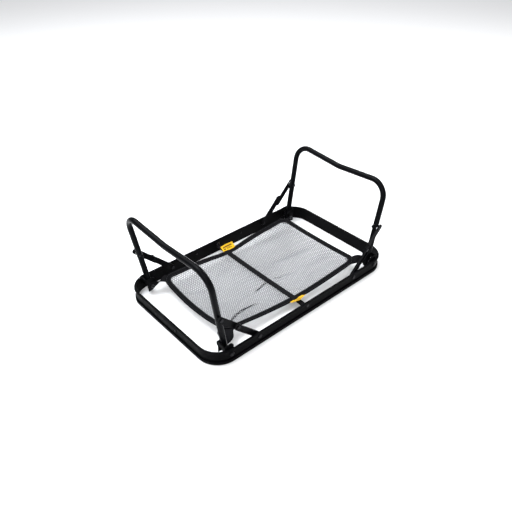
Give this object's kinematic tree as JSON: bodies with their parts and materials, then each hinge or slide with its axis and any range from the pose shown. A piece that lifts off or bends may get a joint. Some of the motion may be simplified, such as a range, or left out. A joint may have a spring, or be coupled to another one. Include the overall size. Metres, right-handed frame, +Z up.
{
  "type": "folding luggage rack",
  "caption": "Folding rack: channel frame round a hung mesh sling, with a fold-down tube leg at each end held open by jointed stays.",
  "frame": {"origin": "centre of the overall box at the height of the frame's lower rim, which rests on the floor", "axes": "+X along the frame's long side, +Y across it towards the side with the splice, +Z up from the rim towards the opened legs' top bars"},
  "size_m": [0.64, 0.386, 0.2688],
  "materials": {
    "frame_paint": "satin black powder coat",
    "leg_paint": "semi-gloss black paint",
    "bracket_paint": "satin black paint",
    "stay_paint": "satin black paint",
    "blackened_steel": "blackened, worn at the edges",
    "zinc_steel": "bright zinc plate",
    "plug_plastic": "matte moulded plastic",
    "mesh_cloth": "light grey spacer mesh",
    "binding_tape": "black woven tape",
    "webbing": "black ribbed webbing",
    "label_cloth": "golden yellow woven cloth"
  },
  "bodies": {
    "frame": {"ring_frame": "frame_paint", "splice_bar": "frame_paint", "end_plate": "frame_paint", "splice_rivets": "blackened_steel", "end_plate_rivets": "blackened_steel", "right_far_pivot_bracket": "bracket_paint", "right_near_pivot_bracket": "bracket_paint", "left_far_pivot_bracket": "bracket_paint", "left_near_pivot_bracket": "bracket_paint", "pivot_bolts": "blackened_steel", "pivot_nuts": "zinc_steel", "pivot_spacers": "blackened_steel", "stay_pivot_rivets": "blackened_steel", "stay_pivot_spacers": "blackened_steel", "mesh_panel": "mesh_cloth", "edge_binding": "binding_tape", "centre_strap": "webbing", "strap_bolts": "blackened_steel", "strap_washers": "zinc_steel", "right_far_corner_strap": "webbing", "right_near_corner_strap": "webbing", "left_far_corner_strap": "webbing", "left_near_corner_strap": "webbing", "label_far": "label_cloth", "label_near": "label_cloth"},
    "right_leg": {"right_leg_tube": "leg_paint", "right_leg_plugs": "plug_plastic", "right_leg_stay_rivets": "blackened_steel", "right_leg_stay_washers": "zinc_steel"},
    "left_leg": {"left_leg_tube": "leg_paint", "left_leg_plugs": "plug_plastic", "left_leg_stay_rivets": "blackened_steel", "left_leg_stay_washers": "zinc_steel"},
    "right_far_lower_stay": {"right_far_lower_link": "stay_paint", "right_far_elbow_head": "blackened_steel"},
    "right_far_upper_stay": {"right_far_upper_link": "stay_paint", "right_far_elbow_pin": "blackened_steel"},
    "right_near_lower_stay": {"right_near_lower_link": "stay_paint", "right_near_elbow_head": "blackened_steel"},
    "right_near_upper_stay": {"right_near_upper_link": "stay_paint", "right_near_elbow_pin": "blackened_steel"},
    "left_far_lower_stay": {"left_far_lower_link": "stay_paint", "left_far_elbow_head": "blackened_steel"},
    "left_far_upper_stay": {"left_far_upper_link": "stay_paint", "left_far_elbow_pin": "blackened_steel"},
    "left_near_lower_stay": {"left_near_lower_link": "stay_paint", "left_near_elbow_head": "blackened_steel"},
    "left_near_upper_stay": {"left_near_upper_link": "stay_paint", "left_near_elbow_pin": "blackened_steel"}
  },
  "joints": [
    {"name": "right_leg_fold", "type": "hinge", "parent": "frame", "child": "right_leg", "pos_m": [0.263, 0, 0.025], "axis": [0, -1, 0], "range_deg": [0, 94]},
    {"name": "left_leg_fold", "type": "hinge", "parent": "frame", "child": "left_leg", "pos_m": [-0.263, 0, 0.025], "axis": [0, 1, 0], "range_deg": [0, 94]},
    {"name": "right_far_lower_stay_turn", "type": "hinge", "parent": "frame", "child": "right_far_lower_stay", "pos_m": [0.1745, 0.182, 0.026], "axis": [0, -1, 0], "range_deg": [0, 141.58]},
    {"name": "right_far_upper_stay_turn", "type": "hinge", "parent": "right_leg", "child": "right_far_upper_stay", "pos_m": [0.27997, 0.176, 0.13216], "axis": [0, -1, 0], "range_deg": [-123.77, 0]},
    {"name": "right_near_lower_stay_turn", "type": "hinge", "parent": "frame", "child": "right_near_lower_stay", "pos_m": [0.1745, -0.182, 0.026], "axis": [0, -1, 0], "range_deg": [0, 141.58]},
    {"name": "right_near_upper_stay_turn", "type": "hinge", "parent": "right_leg", "child": "right_near_upper_stay", "pos_m": [0.27997, -0.176, 0.13216], "axis": [0, -1, 0], "range_deg": [-123.77, 0]},
    {"name": "left_far_lower_stay_turn", "type": "hinge", "parent": "frame", "child": "left_far_lower_stay", "pos_m": [-0.1745, 0.182, 0.026], "axis": [0, 1, 0], "range_deg": [0, 141.58]},
    {"name": "left_far_upper_stay_turn", "type": "hinge", "parent": "left_leg", "child": "left_far_upper_stay", "pos_m": [-0.27997, 0.176, 0.13216], "axis": [0, 1, 0], "range_deg": [-123.77, 0]},
    {"name": "left_near_lower_stay_turn", "type": "hinge", "parent": "frame", "child": "left_near_lower_stay", "pos_m": [-0.1745, -0.182, 0.026], "axis": [0, 1, 0], "range_deg": [0, 141.58]},
    {"name": "left_near_upper_stay_turn", "type": "hinge", "parent": "left_leg", "child": "left_near_upper_stay", "pos_m": [-0.27997, -0.176, 0.13216], "axis": [0, 1, 0], "range_deg": [-123.77, 0]}
  ],
  "couplings": [
    {"joint": "right_far_lower_stay_turn", "follows": "right_leg_fold", "ratio": 1.503},
    {"joint": "right_far_upper_stay_turn", "follows": "right_leg_fold", "ratio": -1.3135},
    {"joint": "right_near_lower_stay_turn", "follows": "right_leg_fold", "ratio": 1.503},
    {"joint": "right_near_upper_stay_turn", "follows": "right_leg_fold", "ratio": -1.3135},
    {"joint": "left_far_lower_stay_turn", "follows": "left_leg_fold", "ratio": 1.503},
    {"joint": "left_far_upper_stay_turn", "follows": "left_leg_fold", "ratio": -1.3135},
    {"joint": "left_near_lower_stay_turn", "follows": "left_leg_fold", "ratio": 1.503},
    {"joint": "left_near_upper_stay_turn", "follows": "left_leg_fold", "ratio": -1.3135}
  ]
}
